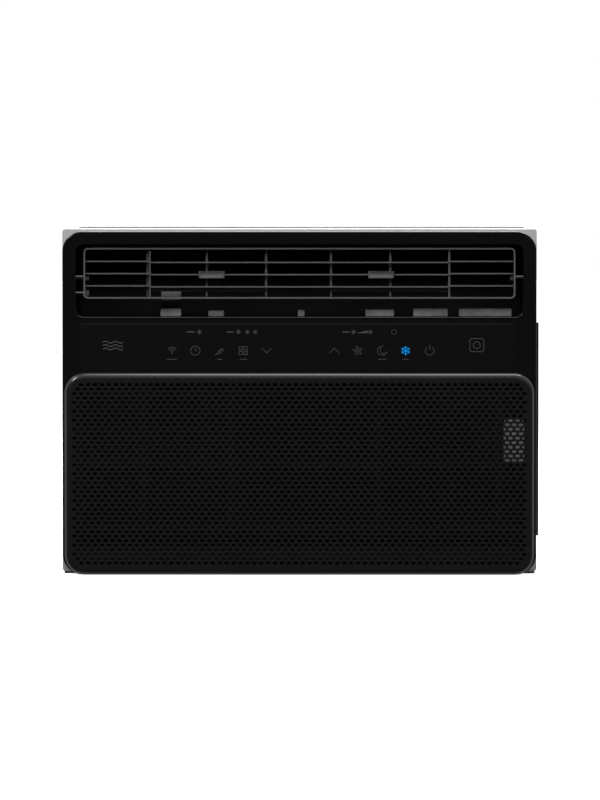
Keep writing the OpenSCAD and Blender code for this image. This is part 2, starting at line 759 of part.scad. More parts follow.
module bulkhead() color("silver") difference() {
    block([-pan_x + pan_t + 1, bulkhead_y[0], pan_t], [pan_x - pan_t - 1, bulkhead_y[1], cabinet_h - 4]);
    rod_y([axis_x, bulkhead_y[0] - eps, axis_z], 16, 3);
    rod_y([suction_hole[0], bulkhead_y[0] - eps, suction_hole[1]], 7, 3);
    rod_y([capillary_hole[0], bulkhead_y[0] - eps, capillary_hole[1]], 3, 3);
    rod_y([liquid_hole[0], bulkhead_y[0] - eps, liquid_hole[1]], 6, 3);
}

// ---------- fan motor and fan ----------

module bolt_holes(r) {
    for (turn = [45:90:315]) rod_y([axis_x + bolt_circle * cos(turn), motor_y[0] - 12,
        axis_z + bolt_circle * sin(turn)], r, motor_y[1] - motor_y[0] + 24);
}

module fan_motor() color("#4a4d50") difference() {
    union() {
        rod_y([axis_x, motor_y[0], axis_z], motor_r, motor_y[1] - motor_y[0]);
        rod_y([axis_x, motor_y[0] - 10, axis_z], 12, motor_y[1] - motor_y[0] + 18);
    }
    rod_y([axis_x, motor_y[0] - 11, axis_z], shaft_r + pin_fit, 100);
    bolt_holes(2.2);
}

module motor_bracket() color("silver") difference() {
    union() {
        block([axis_x - 50, motor_y[0] - 2, pan_t], [axis_x + 50, motor_y[1] + 2, pan_t + 2]);
        for (y = [motor_y[0] - 2, motor_y[1]])
            block([axis_x - 50, y, pan_t], [axis_x + 50, y + 2, axis_z + motor_r]);
    }
    rod_y([axis_x, motor_y[0] - 5, axis_z], 12.2, 80);
    bolt_holes(2.2);
}

module motor_bolts() color("gray")
    for (turn = [45:90:315]) {
        x = axis_x + bolt_circle * cos(turn);
        z = axis_z + bolt_circle * sin(turn);
        rod_y([x, motor_y[0] - 2, z], 2, motor_y[1] - motor_y[0] + 8);
        rod_y([x, motor_y[0] - 5, z], 4, 3);
    }

module motor_shaft() color("lightgray")
    rod_y([axis_x, shaft_y[0], axis_z], shaft_r, shaft_y[1] - shaft_y[0]);

module fan_nuts() color("gray") difference() {
    for (y = [blower_y[1] - 33, fan_y[0] + 28])
        rod_y([axis_x, y, axis_z], 8, 7, $fn = 6);
    rod_y([axis_x, shaft_y[0] - 10, axis_z], shaft_r, 240);
}

module condenser_fan() color("#2b2d30") difference() {
    union() {
        rod_y([axis_x, fan_y[0], axis_z], 22, 28);
        difference() {
            rod_y([axis_x, fan_y[1] - 10, axis_z], fan_r, 10);
            rod_y([axis_x, fan_y[1] - 11, axis_z], fan_r - 4, 12);
        }
        intersection() {
            rod_y([axis_x, fan_y[0], axis_z], fan_r - 3, fan_y[1] - fan_y[0]);
            for (i = [0:fan_blades - 1]) translate([axis_x, fan_y[0] + 16, axis_z])
                rotate([0, i * 360 / fan_blades, 0]) rotate([28, 0, 0])
                    block([16, -1.2, -32], [fan_r, 1.2, 32]);
        }
    }
    rod_y([axis_x, fan_y[0] - eps, axis_z], shaft_r, 40);
}

module condenser_shroud() color("#2b2d30") difference() {
    union() {
        block([-shroud_x, shroud_y, shroud_z[0]], [shroud_x, shroud_y + shroud_t, shroud_z[1]]);
        rod_y([axis_x, shroud_y - collar, axis_z], orifice_r + shroud_t, collar + shroud_t);
        for (side = [-1, 1]) {
            x = side * (shroud_x - shroud_t / 2);
            block([x - shroud_t / 2, shroud_y, shroud_z[0]], [x + shroud_t / 2, shroud_back, shroud_z[1]]);
        }
        block([-shroud_x, shroud_y, shroud_z[1] - shroud_t], [shroud_x, shroud_back, shroud_z[1]]);
    }
    rod_y([axis_x, shroud_y - collar - 1, axis_z], orifice_r, collar + shroud_t + 2);
}

// ---------- heat exchangers ----------

module evaporator_fins() color("gainsboro") fin_block(evaporator_x, evaporator_y, evaporator_z,
    evaporator_rows, evaporator_z_first, evaporator_pitch, evaporator_tubes);

module evaporator_end_plates() color("silver") end_plates(evaporator_x, evaporator_y, evaporator_z,
    evaporator_rows, evaporator_z_first, evaporator_pitch, evaporator_tubes);

module evaporator_tubes() color("peru") serpentine(evaporator_x, evaporator_rows,
    evaporator_z_first, evaporator_pitch, evaporator_tubes, tube_r);

module condenser_fins() color("gainsboro") fin_block(condenser_x, condenser_y, condenser_z,
    condenser_rows, condenser_z_first, condenser_pitch, condenser_tubes);

module condenser_end_plates() color("silver") end_plates(condenser_x, condenser_y, condenser_z,
    condenser_rows, condenser_z_first, condenser_pitch, condenser_tubes);

module condenser_tubes() color("peru") serpentine(condenser_x, condenser_rows,
    condenser_z_first, condenser_pitch, condenser_tubes, tube_r);

module evaporator_seal() color("dimgray")
    block([-evaporator_x, evaporator_y[0] + 2, evaporator_z[1]],
        [evaporator_x, evaporator_y[1] - 2, duct_z[0]]);

// Foam block under the evaporator, with a basin that catches condensate
module drain_tray() color("#1c1d1e") difference() {
    block([-212, -162, pan_t], [212, -112.5, evaporator_z[0]]);
    block([-196, evaporator_y[0] + 4, evaporator_z[0] - 12],
        [196, evaporator_y[1] - 4, evaporator_z[0] + 1]);
}

module coil_thermistor() color("white") {
    clip_x = 183;
    clip_z = [126, 142];
    block([clip_x - 7, evaporator_y[0] - 2, clip_z[0]], [clip_x + 7, evaporator_y[0], clip_z[1]]);
    rod_z([clip_x, evaporator_y[0] - 4, clip_z[0] - 4], 2.5, 24);
}

// ---------- refrigerant circuit ----------

// Upright can with rounded ends
module can(at, r, z) {
    e = r / 4;
    translate([at[0], at[1], z[0]]) rotate_extrude() {
        square([r - e, z[1] - z[0]]);
        translate([0, e]) square([r, z[1] - z[0] - 2 * e]);
        for (h = [e, z[1] - z[0] - e]) translate([r - e, h]) circle(e);
    }
}

// Repeats its children at the three mounting studs
module at_studs(z) {
    for (turn = stud_angles)
        translate([compressor_at[0], compressor_at[1], z]) rotate([0, 0, turn])
            translate([stud_circle, 0, 0]) children();
}

module compressor() color("#1b1c1e") difference() {
    union() {
        can(compressor_at, compressor_r, compressor_z);
        for (turn = stud_angles) translate([compressor_at[0], compressor_at[1], foot_z]) rotate([0, 0, turn])
            block([30, -12, 0], [stud_circle + 9, 12, foot_t]);
    }
    at_studs(foot_z - eps) cylinder(h = foot_t + 2 * eps, r = grommet_neck + 0.1);
}

module terminal_cover() color("#26282b")
    rod_z([compressor_at[0] + 22, compressor_at[1], compressor_z[1]], 15, 10);

module compressor_grommets() color("#222222") {
    foot_top = foot_z + foot_t;
    difference() {
        at_studs(pan_t) {
            cylinder(h = foot_z - pan_t, r = grommet_r);
            cylinder(h = foot_top - pan_t, r = grommet_neck);
            translate([0, 0, foot_top - pan_t]) cylinder(h = 3, r = grommet_r - 1);
        }
        at_studs(0) cylinder(h = 50, r = stud_r + 0.1);
    }
}

module compressor_studs() color("gray") at_studs(pan_t) {
    cylinder(h = 40, r = stud_r);
    translate([0, 0, foot_z + foot_t + 3 - pan_t]) cylinder(h = 5, r = 2 * stud_r, $fn = 6);
}

// Suction accumulator with the stub that feeds the compressor's side
module accumulator() color("#1b1c1e") difference() {
    union() {
        can(accumulator_at, accumulator_r, accumulator_z);
        pipe([[accumulator_at[0], accumulator_at[1], accumulator_z[0] + 4],
            [accumulator_at[0], accumulator_at[1], 46],
            [compressor_at[0] + 20, compressor_at[1] - 4, 46]], pipe_r);
    }
    rod_z([compressor_at[0], compressor_at[1], compressor_z[0]], compressor_r, 60);
}

module discharge_pipe() color("peru") {
    x = -condenser_x - plate_t - tube_out;
    z = condenser_z_first + (condenser_tubes - 1) * condenser_pitch;
    rise = compressor_at[0] - 16;
    side = -229;
    top = 316;
    pipe([[rise, compressor_at[1], compressor_z[1]], [rise, compressor_at[1], top],
        [side, compressor_at[1], top], [side, condenser_rows[0], top],
        [side, condenser_rows[0], z], [x, condenser_rows[0], z]], pipe_r);
}

module suction_pipe() color("peru") {
    x = -evaporator_x - plate_t - tube_out;
    z = evaporator_z_first + (evaporator_tubes - 1) * evaporator_pitch;
    pipe([[x, evaporator_rows[1], z], [suction_hole[0], evaporator_rows[1], z],
        [suction_hole[0], accumulator_at[1], z],
        [accumulator_at[0], accumulator_at[1], z],
        [accumulator_at[0], accumulator_at[1], accumulator_z[1]]], pipe_r);
}

module filter_drier() color("peru") {
    x = -condenser_x - plate_t - tube_out;
    z = condenser_z_first + (condenser_tubes - 1) * condenser_pitch;
    rod_y([drier_x, drier_y[0], drier_z], 7.5, drier_y[1] - drier_y[0]);
    pipe([[x, condenser_rows[1], z], [drier_x, condenser_rows[1], z],
        [drier_x, condenser_rows[1], drier_z], [drier_x, drier_y[1] - 1, drier_z]], liquid_r);
}

// Coiled capillary from the drier to the evaporator's inlet
module capillary_tube() color("peru") {
    steps = 12;
    z0 = drier_z;
    z1 = 262;
    x = -evaporator_x - plate_t - tube_out;
    z = evaporator_z_first + (evaporator_tubes - 1) * evaporator_pitch;
    coil = [for (i = [0:coil_turns * steps]) let (a = 180 + i * 360 / steps)
        [coil_at[0] + coil_r * cos(a), coil_at[1] + coil_r * sin(a),
         z0 + (z1 - z0) * i / (coil_turns * steps)]];
    hole_x = capillary_hole[0];
    hole_z = capillary_hole[1];
    wire(concat([[drier_x, drier_y[0] - 0.8, z0], [drier_x + 3, 14, z0]], coil,
        [[hole_x + 2, -18, hole_z], [hole_x, -40, hole_z], [hole_x, evaporator_rows[0], hole_z],
         [hole_x, evaporator_rows[0], z], [x - 1.2, evaporator_rows[0], z]]), capillary_r);
}

// ---------- electrical parts ----------

module control_box() color("silver") difference() {
    block([box_x[0], box_y[0], box_z[0]], [box_x[1], box_y[1], box_z[1]]);
    block([box_x[0] + sheet, box_y[0] - eps, box_z[0] + sheet],
        [box_x[1] - sheet, box_y[1] - sheet, box_z[1] - sheet]);
}

module control_board() color("darkgreen") {
    y = box_y[1] - sheet;
    post = 6.4;
    board_t = 1.6;
    block([box_x[0] + 5, y - post - board_t, box_z[0] + 12], [box_x[1] - 5, y - post, box_z[1] - 8]);
    for (x = [box_x[0] + 9, box_x[1] - 9], z = [box_z[0] + 16, box_z[1] - 12])
        rod_y([x, y - post, z], 3, post);
    for (z = [60, 90, 120])
        block([box_x[0] + 14, y - 26, box_z[0] + z], [box_x[0] + 34, y - post - board_t, box_z[0] + z + 20]);
}

module run_capacitor() color("gainsboro") {
    can_h = 62;
    at = [box_x[1] - 24, box_y[0] + 22];
    rod_z([at[0], at[1], box_z[0] + sheet], 17, can_h);
    rod_z([at[0], at[1], box_z[0] + sheet + can_h], 5, 8);
}

// Bushing that the mains lead would leave through
module cord_gland() color("#1a1a1a") difference() {
    union() {
        rod_x([cabinet_x, gland_at[0], gland_at[1]], gland_r + 3, 2.6);
        rod_x([cabinet_x - 4.4, gland_at[0], gland_at[1]], gland_r - 0.05, 4.4 + eps);
    }
    rod_x([cabinet_x - 6, gland_at[0], gland_at[1]], 4.5, 12);
}

module drain_plug() color("#222222") {
    rod_z([plug_at[0], plug_at[1], 0.2], drain_r - 0.05, pan_t - 0.2);
    rod_z([plug_at[0], plug_at[1], pan_t], drain_r + 3, 3);
}

// Sheet-metal screws: cabinet to base pan at the sides, bezel to cabinet at the front
module case_screws() color("gray") {
    for (side = [-1, 1], y = screw_y) {
        rod_x([side > 0 ? cabinet_x - 6 : -cabinet_x - eps, y, screw_z], screw_r, 6 + eps);
        rod_x([side > 0 ? cabinet_x : -cabinet_x - 2.4, y, screw_z], 4, 2.4);
    }
    for (side = [-1, 1], z = bezel_screw_z) {
        rod_y([side * bezel_screw_x, cabinet_y0 - 4 - eps, z], screw_r, 8);
        rod_y([side * bezel_screw_x, cabinet_y0 - 6.4, z], 3.6, 2.4);
    }
}

cabinet();
base_pan();
rear_grille();
front_bezel();
intake_grille();
touch_panel();
display_board();
led_display();
air_filter();
filter_mesh();
filter_tab();
louvre_frame();
louvre_pivots();
louvre_stop_pin();
vane_1();
vane_2();
vane_3();
vane_4();
vane_5();
vane_6();
vane_link_left();
vane_link_right();
vane_tab_left();
vane_tab_right();
outlet_duct();
duct_foam();
scroll_housing();
blower_wheel();
evaporator_fins();
evaporator_tubes();
evaporator_end_plates();
evaporator_seal();
drain_tray();
coil_thermistor();
bulkhead();
fan_motor();
motor_bracket();
motor_bolts();
motor_shaft();
fan_nuts();
condenser_fan();
condenser_shroud();
condenser_fins();
condenser_tubes();
condenser_end_plates();
compressor();
terminal_cover();
compressor_grommets();
compressor_studs();
accumulator();
discharge_pipe();
suction_pipe();
capillary_tube();
filter_drier();
control_box();
control_board();
run_capacitor();
cord_gland();
drain_plug();
case_screws();
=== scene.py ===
"""Window air conditioner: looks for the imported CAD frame.

The frame gives every place and size that isn't named here. Lengths are in metres.
"""

import json
import math

import bmesh
import bpy
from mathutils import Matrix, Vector


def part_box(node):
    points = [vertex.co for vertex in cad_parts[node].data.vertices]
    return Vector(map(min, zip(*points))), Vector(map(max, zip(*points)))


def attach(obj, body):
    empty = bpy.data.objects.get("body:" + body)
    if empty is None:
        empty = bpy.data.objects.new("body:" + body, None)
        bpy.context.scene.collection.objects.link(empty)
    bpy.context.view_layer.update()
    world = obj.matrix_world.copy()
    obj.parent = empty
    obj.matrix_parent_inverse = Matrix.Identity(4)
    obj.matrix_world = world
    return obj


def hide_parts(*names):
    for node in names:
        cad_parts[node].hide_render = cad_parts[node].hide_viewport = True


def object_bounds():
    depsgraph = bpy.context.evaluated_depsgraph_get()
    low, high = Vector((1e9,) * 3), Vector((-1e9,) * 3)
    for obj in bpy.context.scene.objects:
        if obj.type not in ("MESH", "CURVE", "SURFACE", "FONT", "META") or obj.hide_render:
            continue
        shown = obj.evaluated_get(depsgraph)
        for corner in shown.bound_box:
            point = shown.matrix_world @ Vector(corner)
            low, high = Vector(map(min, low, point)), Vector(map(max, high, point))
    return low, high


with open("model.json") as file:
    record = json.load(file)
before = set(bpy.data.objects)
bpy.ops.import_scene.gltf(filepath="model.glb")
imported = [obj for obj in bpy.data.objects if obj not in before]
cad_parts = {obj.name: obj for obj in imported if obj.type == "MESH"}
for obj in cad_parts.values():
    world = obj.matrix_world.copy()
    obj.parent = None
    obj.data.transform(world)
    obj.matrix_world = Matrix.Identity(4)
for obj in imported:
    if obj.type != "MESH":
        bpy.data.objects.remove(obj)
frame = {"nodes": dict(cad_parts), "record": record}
cad_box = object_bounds()
nodes = frame["nodes"]
MM = 0.001

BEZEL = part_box("front_bezel")
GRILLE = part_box("intake_grille")
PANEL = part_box("touch_panel")
FRONT_Y = GRILLE[0].y
BEZEL_Y = BEZEL[0].y
PANEL_Y = PANEL[0].y

# The bezel's outlet: half its width, its top's depth below the bezel's top, its height and corner radius
OUTLET_HALF = 223.3 * MM
OUTLET_DROP = 12.6 * MM
OUTLET_H = 73 * MM
OUTLET_R = 8 * MM


# ---------- camera, stage and light ----------


def make_camera():
    """Long lens a little above and to the right, as the object is seen in a catalogue."""
    distance, view_width, sensor = 5.75, 0.7966, 36
    data = bpy.data.cameras.new("camera")
    data.lens = sensor * distance / view_width
    data.clip_end = 200
    cam = bpy.data.objects.new("camera", data)
    bpy.context.collection.objects.link(cam)
    aim = Vector((0.0007, FRONT_Y, 0.1751))
    cam.location = (0.034, FRONT_Y - distance, 0.367)
    cam.rotation_mode = "QUATERNION"
    cam.rotation_quaternion = (aim - cam.location).to_track_quat("-Z", "Y")
    bpy.context.scene.camera = cam


def area_light(name, place, aim, size, watts, glossy=True):
    data = bpy.data.lights.new(name, "AREA")
    data.shape = "RECTANGLE"
    data.size, data.size_y = size
    data.energy = watts
    lamp = bpy.data.objects.new(name, data)
    bpy.context.collection.objects.link(lamp)
    lamp.location = place
    lamp.rotation_mode = "QUATERNION"
    lamp.rotation_quaternion = (Vector(aim) - Vector(place)).to_track_quat("-Z", "Y")
    lamp.visible_camera = False
    lamp.visible_glossy = glossy


def make_world():
    """White to the camera; for light, dim in front of the object and brighter above and behind it."""
    world = bpy.data.worlds.new("studio")
    world.use_nodes = True
    tree = world.node_tree
    tree.nodes.clear()
    out = tree.nodes.new("ShaderNodeOutputWorld")
    path = tree.nodes.new("ShaderNodeLightPath")
    coord = tree.nodes.new("ShaderNodeTexCoord")
    split = tree.nodes.new("ShaderNodeSeparateXYZ")
    back = tree.nodes.new("ShaderNodeMapRange")
    up = tree.nodes.new("ShaderNodeMapRange")
    total = tree.nodes.new("ShaderNodeMath")
    seen = tree.nodes.new("ShaderNodeBackground")
    lit = tree.nodes.new("ShaderNodeBackground")
    mix = tree.nodes.new("ShaderNodeMixShader")
    link = tree.links.new
    link(coord.outputs["Generated"], split.inputs[0])
    for node, source, low, high, dark, light in (
        (back, "Y", -0.55, 0.3, 0.015, 0.45),
        (up, "Z", 0.0, 0.95, 0.0, 0.55),
    ):
        node.interpolation_type = "SMOOTHSTEP"
        node.inputs["From Min"].default_value = low
        node.inputs["From Max"].default_value = high
        node.inputs["To Min"].default_value = dark
        node.inputs["To Max"].default_value = light
        link(split.outputs[source], node.inputs["Value"])
    link(back.outputs[0], total.inputs[0])
    link(up.outputs[0], total.inputs[1])
    link(total.outputs[0], lit.inputs["Strength"])
    seen.inputs["Color"].default_value = (1, 1, 1, 1)
    lit.inputs["Color"].default_value = (1, 1, 1, 1)
    link(path.outputs["Is Camera Ray"], mix.inputs[0])
    link(lit.outputs[0], mix.inputs[1])
    link(seen.outputs[0], mix.inputs[2])
    link(mix.outputs[0], out.inputs["Surface"])
    bpy.context.scene.world = world


def make_floor():
    """Pale floor at the base pan's underside, kept out of the glossy front's reflections."""
    size = 30
    bpy.ops.mesh.primitive_plane_add(size=size, location=(0, 8, cad_box[0].z - 0.0002))
    floor = bpy.context.object
    floor.name = "floor"
    mat = bpy.data.materials.new("floor")
    mat.use_nodes = True
    shader = mat.node_tree.nodes["Principled BSDF"]
    shader.inputs["Base Color"].default_value = (0.8, 0.8, 0.8, 1)
    shader.inputs["Roughness"].default_value = 0.9
    shader.inputs["Emission Color"].default_value = (1, 1, 1, 1)
    shader.inputs["Emission Strength"].default_value = 0.75
    floor.data.materials.append(mat)
    floor.visible_glossy = False
    floor.visible_diffuse = False


def make_lights():
    area_light("front_fill", (0, -4.2, 1.5), (0, FRONT_Y, 0.2), (3.2, 0.8), 115, glossy=False)
    area_light("key_top", (0.3, -0.1, 1.95), (0.3, -0.1, 0), (1.3, 1.6), 20)
    area_light("corner_left", (-1.3, -1.2, 1.5), (-0.2, FRONT_Y, 0.2), (0.5, 0.5), 10)
    area_light("side_left", (-2.3, 0.4, 1.3), (0, 0, 0.2), (1.2, 1.2), 30, glossy=False)
    area_light("side_right", (2.3, 0.4, 1.3), (0, 0, 0.2), (1.2, 1.2), 30, glossy=False)
    area_light("rear", (0.3, 2.7, 1.7), (0, 0.1, 0.2), (1.8, 1.0), 45)


# ---------- materials ----------


def material(name, colour, rough, metallic=0.0, grain=0.0, grain_size=900.0, blotch=0.0, coat=0.0,
             rough_var=0.06, specular=0.5, blotch_size=14):
    """Principled material with fine moulded or rolled grain, soft blotches and uneven gloss."""
    mat = bpy.data.materials.new(name)
    mat.use_nodes = True
    tree = mat.node_tree
    link = tree.links.new
    shader = tree.nodes["Principled BSDF"]
    shader.inputs["Metallic"].default_value = metallic
    shader.inputs["Coat Weight"].default_value = coat
    shader.inputs["Coat Roughness"].default_value = 0.08
    shader.inputs["Specular IOR Level"].default_value = specular
    coord = tree.nodes.new("ShaderNodeTexCoord")
    large = tree.nodes.new("ShaderNodeTexNoise")
    large.inputs["Scale"].default_value = blotch_size
    large.inputs["Detail"].default_value = 5
    link(coord.outputs["Object"], large.inputs["Vector"])
    tint = tree.nodes.new("ShaderNodeMapRange")
    tint.inputs["To Min"].default_value = 1 - blotch
    tint.inputs["To Max"].default_value = 1 + blotch
    link(large.outputs["Fac"], tint.inputs["Value"])
    scale = tree.nodes.new("ShaderNodeVectorMath")
    scale.operation = "SCALE"
    scale.inputs[0].default_value = colour
    link(tint.outputs[0], scale.inputs["Scale"])
    link(scale.outputs[0], shader.inputs["Base Color"])
    gloss = tree.nodes.new("ShaderNodeMapRange")
    gloss.inputs["To Min"].default_value = max(0.02, rough - rough_var)
    gloss.inputs["To Max"].default_value = rough + rough_var
    link(large.outputs["Fac"], gloss.inputs["Value"])
    link(gloss.outputs[0], shader.inputs["Roughness"])
    if grain:
        fine = tree.nodes.new("ShaderNodeTexNoise")
        fine.inputs["Scale"].default_value = grain_size
        fine.inputs["Detail"].default_value = 3
        link(coord.outputs["Object"], fine.inputs["Vector"])
        bump = tree.nodes.new("ShaderNodeBump")
        bump.inputs["Strength"].default_value = grain
        bump.inputs["Distance"].default_value = 0.0002
        link(fine.outputs["Fac"], bump.inputs["Height"])
        link(bump.outputs[0], shader.inputs["Normal"])
    return mat


def plain(name, colour, rough, emission=0.0):
    mat = material(name, colour, rough, blotch=0.04)
    shader = mat.node_tree.nodes["Principled BSDF"]
    if emission:
        shader.inputs["Emission Color"].default_value = (*colour, 1)
        shader.inputs["Emission Strength"].default_value = emission
    return mat


def make_materials():
    return {
        "cabinet_steel": material(
            "cabinet_steel", (0.40, 0.405, 0.41), 0.4, grain=0.25, grain_size=700, blotch=0.06,
        ),
        "rear_paint": material("rear_paint", (0.03, 0.031, 0.033), 0.45, grain=0.3, blotch=0.1),
        # Base pan in near-black, darker than the galvanised steel of a real pan, so that its rim stays dark
        # behind the grille holes: this darkness is painted shade.
        "pan_steel": material("pan_steel", (0.018, 0.0185, 0.02), 0.4, grain=0.3, blotch=0.1),
        "black_gloss": material(
            "black_gloss", (0.0042, 0.0042, 0.0044), 0.1,
            grain=0.03, grain_size=1400, blotch=0.12, rough_var=0.03, specular=0.8,
        ),
        "black_grille": material(
            "black_grille", (0.0095, 0.0095, 0.0098), 0.15,
            grain=0.08, grain_size=1500, blotch=0.15, rough_var=0.04, specular=0.8,
        ),
        "panel_film": material(
            "panel_film", (0.0050, 0.0050, 0.0056), 0.1, rough_var=0.02, blotch=0.05, specular=0.8,
        ),
        "circuit_board": material("circuit_board", (0.02, 0.14, 0.06), 0.4, blotch=0.1),
        "led_module": material("led_module", (0.03, 0.03, 0.03), 0.2),
        "filter_plastic": material("filter_plastic", (0.012, 0.0125, 0.013), 0.4, grain=0.2, blotch=0.1),
        "filter_net": material("filter_net", (0.006, 0.006, 0.0065), 0.6, blotch=0.15, specular=0.15),
        "pale_plastic": material("pale_plastic", (0.30, 0.30, 0.29), 0.5, grain=0.2, blotch=0.12),
        # Louvre plastic in dark grey, much lighter than the black bezel, so that the thin front edges of
        # blades and frame show as bright lines; those lines are edge highlights on the real black louvre, so
        # this lightness is partly the plastic's own tone and partly painted highlight.
        "louvre_plastic": material(
            "louvre_plastic", (0.10, 0.102, 0.105), 0.14,
            grain=0.05, blotch=0.1, rough_var=0.03, specular=0.8,
        ),
        "pin_steel": material("pin_steel", (0.62, 0.62, 0.62), 0.25, metallic=1.0, blotch=0.05),
        # Near-black foam for parts deep inside the unit, such as the blower scroll, darker than their white
        # foam so that they stay dark where seen through the outlet: painted shade.
        "dark_foam": material(
            "dark_foam", (0.012, 0.012, 0.0125), 0.85, grain=0.8, grain_size=500, blotch=0.25,
        ),
        "grey_foam": material(
            "grey_foam", (0.17, 0.17, 0.166), 0.9, grain=0.8, grain_size=450, blotch=0.7, blotch_size=80,
        ),
        # Near-black foam standing in for the white foam of the drain tray, so that the tray stays dark
        # behind the grille holes: painted shade.
        "black_foam": material(
            "black_foam", (0.012, 0.012, 0.0125), 0.8, grain=0.9, grain_size=260, blotch=0.1,
        ),
        "fan_plastic": material("fan_plastic", (0.03, 0.03, 0.032), 0.42, grain=0.2, blotch=0.1),
        "fin_aluminium": material("fin_aluminium", (0.45, 0.46, 0.47), 0.4, metallic=1.0, blotch=0.08),
        "plate_steel": material(
            "plate_steel", (0.58, 0.59, 0.60), 0.36, metallic=0.9, grain=0.2, grain_size=300, blotch=0.12,
        ),
        "copper": material("copper", (0.72, 0.34, 0.19), 0.3, metallic=1.0, blotch=0.2),
        "motor_paint": material("motor_paint", (0.10, 0.105, 0.11), 0.45, grain=0.2, blotch=0.1),
        "compressor_paint": material(
            "compressor_paint", (0.015, 0.015, 0.016), 0.35, grain=0.3, blotch=0.15,
        ),
        "rubber_black": material("rubber_black", (0.02, 0.02, 0.02), 0.75, grain=0.3, blotch=0.1),
        "screw_steel": material("screw_steel", (0.5, 0.5, 0.5), 0.3, metallic=1.0, blotch=0.1),
        "capacitor_can": material("capacitor_can", (0.7, 0.71, 0.72), 0.25, metallic=1.0, blotch=0.05),
    }


# ---------- helpers for pieces ----------


def add_piece(name, mesh, mat, body, replaces=()):
    piece = bpy.data.objects.new(name, mesh)
    bpy.context.collection.objects.link(piece)
    if mat.name not in mesh.materials:
        mesh.materials.append(mat)
    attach(piece, body)
    if replaces:
        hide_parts(*replaces)
    return piece


def smooth_by_angle(mesh, degrees=35):
    for poly in mesh.polygons:
        poly.use_smooth = True
    mesh.set_sharp_from_angle(angle=math.radians(degrees))


def soften(obj, width, segments=3, angle=32):
    """Rounds an object's hard edges, as moulding and pressing do."""
    weld = obj.modifiers.new("weld", "WELD")
    weld.merge_threshold = 1e-6
    flat = obj.modifiers.new("flat", "DECIMATE")
    flat.decimate_type = "DISSOLVE"
    flat.angle_limit = math.radians(0.6)
    bevel = obj.modifiers.new("bevel", "BEVEL")
    bevel.width = width
    bevel.segments = segments
    bevel.limit_method = "ANGLE"
    bevel.angle_limit = math.radians(angle)
    bevel.harden_normals = True
    bevel.use_clamp_overlap = True


def rounded_rect(x0, x1, z0, z1, r, steps=10):
    """Points round a rounded rectangle in the X-Z plane, anticlockwise from the lower right corner."""
    points = []
    corners = ((x1 - r, z0 + r, -90), (x1 - r, z1 - r, 0), (x0 + r, z1 - r, 90), (x0 + r, z0 + r, 180))
    for cx, cz, start in corners:
        for i in range(steps + 1):
            a = math.radians(start + 90 * i / steps)
            points.append((cx + r * math.cos(a), cz + r * math.sin(a)))
    return points


def inside_rounded_rect(x, z, x0, x1, z0, z1, r):
    dx = max(x0 + r - x, x - (x1 - r), 0)
    dz = max(z0 + r - z, z - (z1 - r), 0)
    return math.hypot(dx, dz) <= r


# ---------- intake grille ----------


